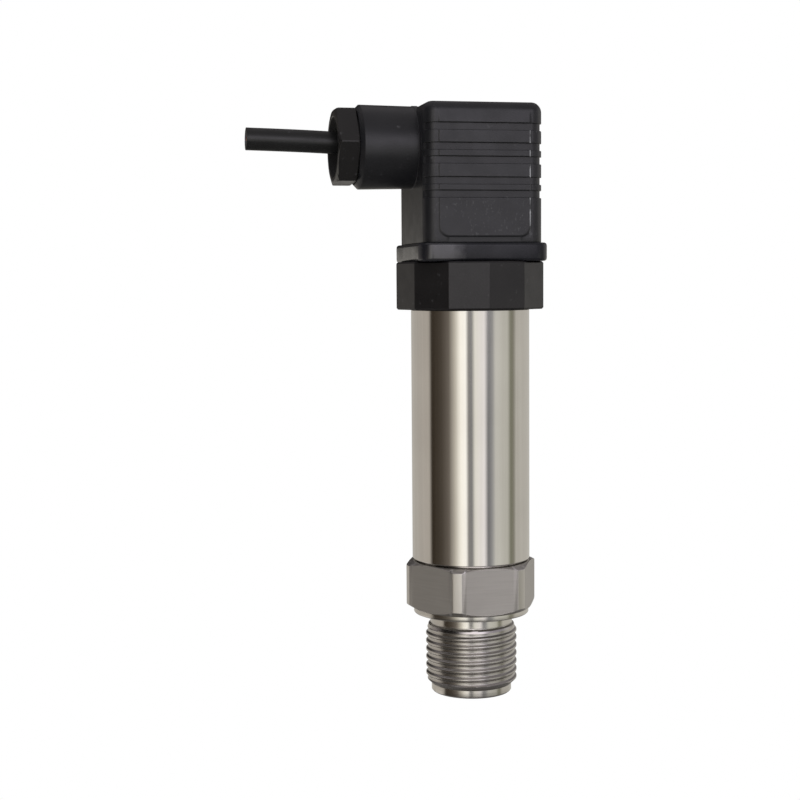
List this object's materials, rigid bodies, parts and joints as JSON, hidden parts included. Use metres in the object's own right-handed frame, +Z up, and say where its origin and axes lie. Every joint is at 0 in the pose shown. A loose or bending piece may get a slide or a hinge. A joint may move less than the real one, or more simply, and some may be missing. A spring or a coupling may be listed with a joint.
{
  "type": "pressure transmitter",
  "caption": "Pressure transmitter with a steel case tube, a hexagon over a male process thread and a black right-angle valve plug with a cable gland.",
  "frame": {"origin": "on the case axis, in the plane of the sealing face under the steel hexagon", "axes": "+Z up along the case axis from the process thread to the plug, cable gland towards -X, front of the plug towards -Y"},
  "size_m": [0.0667, 0.0336, 0.1315],
  "materials": {
    "turned_steel": "turned, satin",
    "polished_steel": "polished",
    "sensor_steel": "fine turned",
    "black_moulding": "satin",
    "collar_moulding": "matt",
    "gland_moulding": "matt",
    "insert_moulding": "matt",
    "gasket_rubber": "glossy",
    "seal_rubber": "matt",
    "cable_sheath": "satin",
    "core_insulation": "gloss",
    "tinned_brass": "tinned",
    "brass": "bright",
    "gold_pins": "bright",
    "zinc_screw": "zinc plated",
    "circuit_board": "satin",
    "chip_moulding": "matt",
    "holder_moulding": "matt"
  },
  "bodies": {
    "transmitter": {"process_connection": "turned_steel", "sensor_capsule": "sensor_steel", "sensor_diaphragm": "sensor_steel", "capsule_o_ring": "seal_rubber", "retaining_ring": "sensor_steel", "header_pins": "gold_pins", "compensation_board": "circuit_board", "amplifier_board": "circuit_board", "board_chips": "chip_moulding", "board_holder": "holder_moulding", "lead_wires": "core_insulation", "case_tube": "polished_steel", "collar": "collar_moulding", "collar_o_ring": "seal_rubber", "base_socket": "insert_moulding", "base_screws": "zinc_screw", "contact_blades": "tinned_brass", "earth_blade": "tinned_brass", "base_nut": "brass", "flange_gasket": "gasket_rubber"},
    "plug": {"plug_housing": "black_moulding", "contact_insert": "insert_moulding", "terminals": "brass", "earth_terminal": "brass", "terminal_screws": "zinc_screw", "gland_seal": "seal_rubber", "cable": "cable_sheath", "cable_cores": "core_insulation"},
    "plug_screw_seal": {"screw_seal": "seal_rubber"},
    "plug_screw": {"fixing_screw": "zinc_screw"},
    "gland_slip_ring": {"gland_washer": "holder_moulding"},
    "gland_nut": {"gland_screw": "gland_moulding"}
  },
  "joints": [
    {"name": "plug_pull", "type": "slide", "parent": "transmitter", "child": "plug", "axis": [0, 0, 1], "range_m": [0, 0.02]},
    {"name": "screw_rise", "type": "slide", "parent": "plug", "child": "plug_screw_seal", "axis": [0, 0, 1], "range_m": [0, 0.004]},
    {"name": "screw_turn", "type": "hinge", "parent": "plug_screw_seal", "child": "plug_screw", "pos_m": [0, 0, 0.11], "axis": [0, 0, 1], "range_deg": [0, 2881]},
    {"name": "gland_travel", "type": "slide", "parent": "plug", "child": "gland_slip_ring", "axis": [-1, 0, 0], "range_m": [0, 0.0045]},
    {"name": "gland_turn", "type": "hinge", "parent": "gland_slip_ring", "child": "gland_nut", "pos_m": [-0.0286, 0, 0.10415], "axis": [-1, 0, 0], "range_deg": [0, 1081]}
  ],
  "couplings": [
    {"joint": "screw_turn", "follows": "screw_rise", "rad_per_m": 12566},
    {"joint": "gland_turn", "follows": "gland_travel", "rad_per_m": 4188.8}
  ]
}
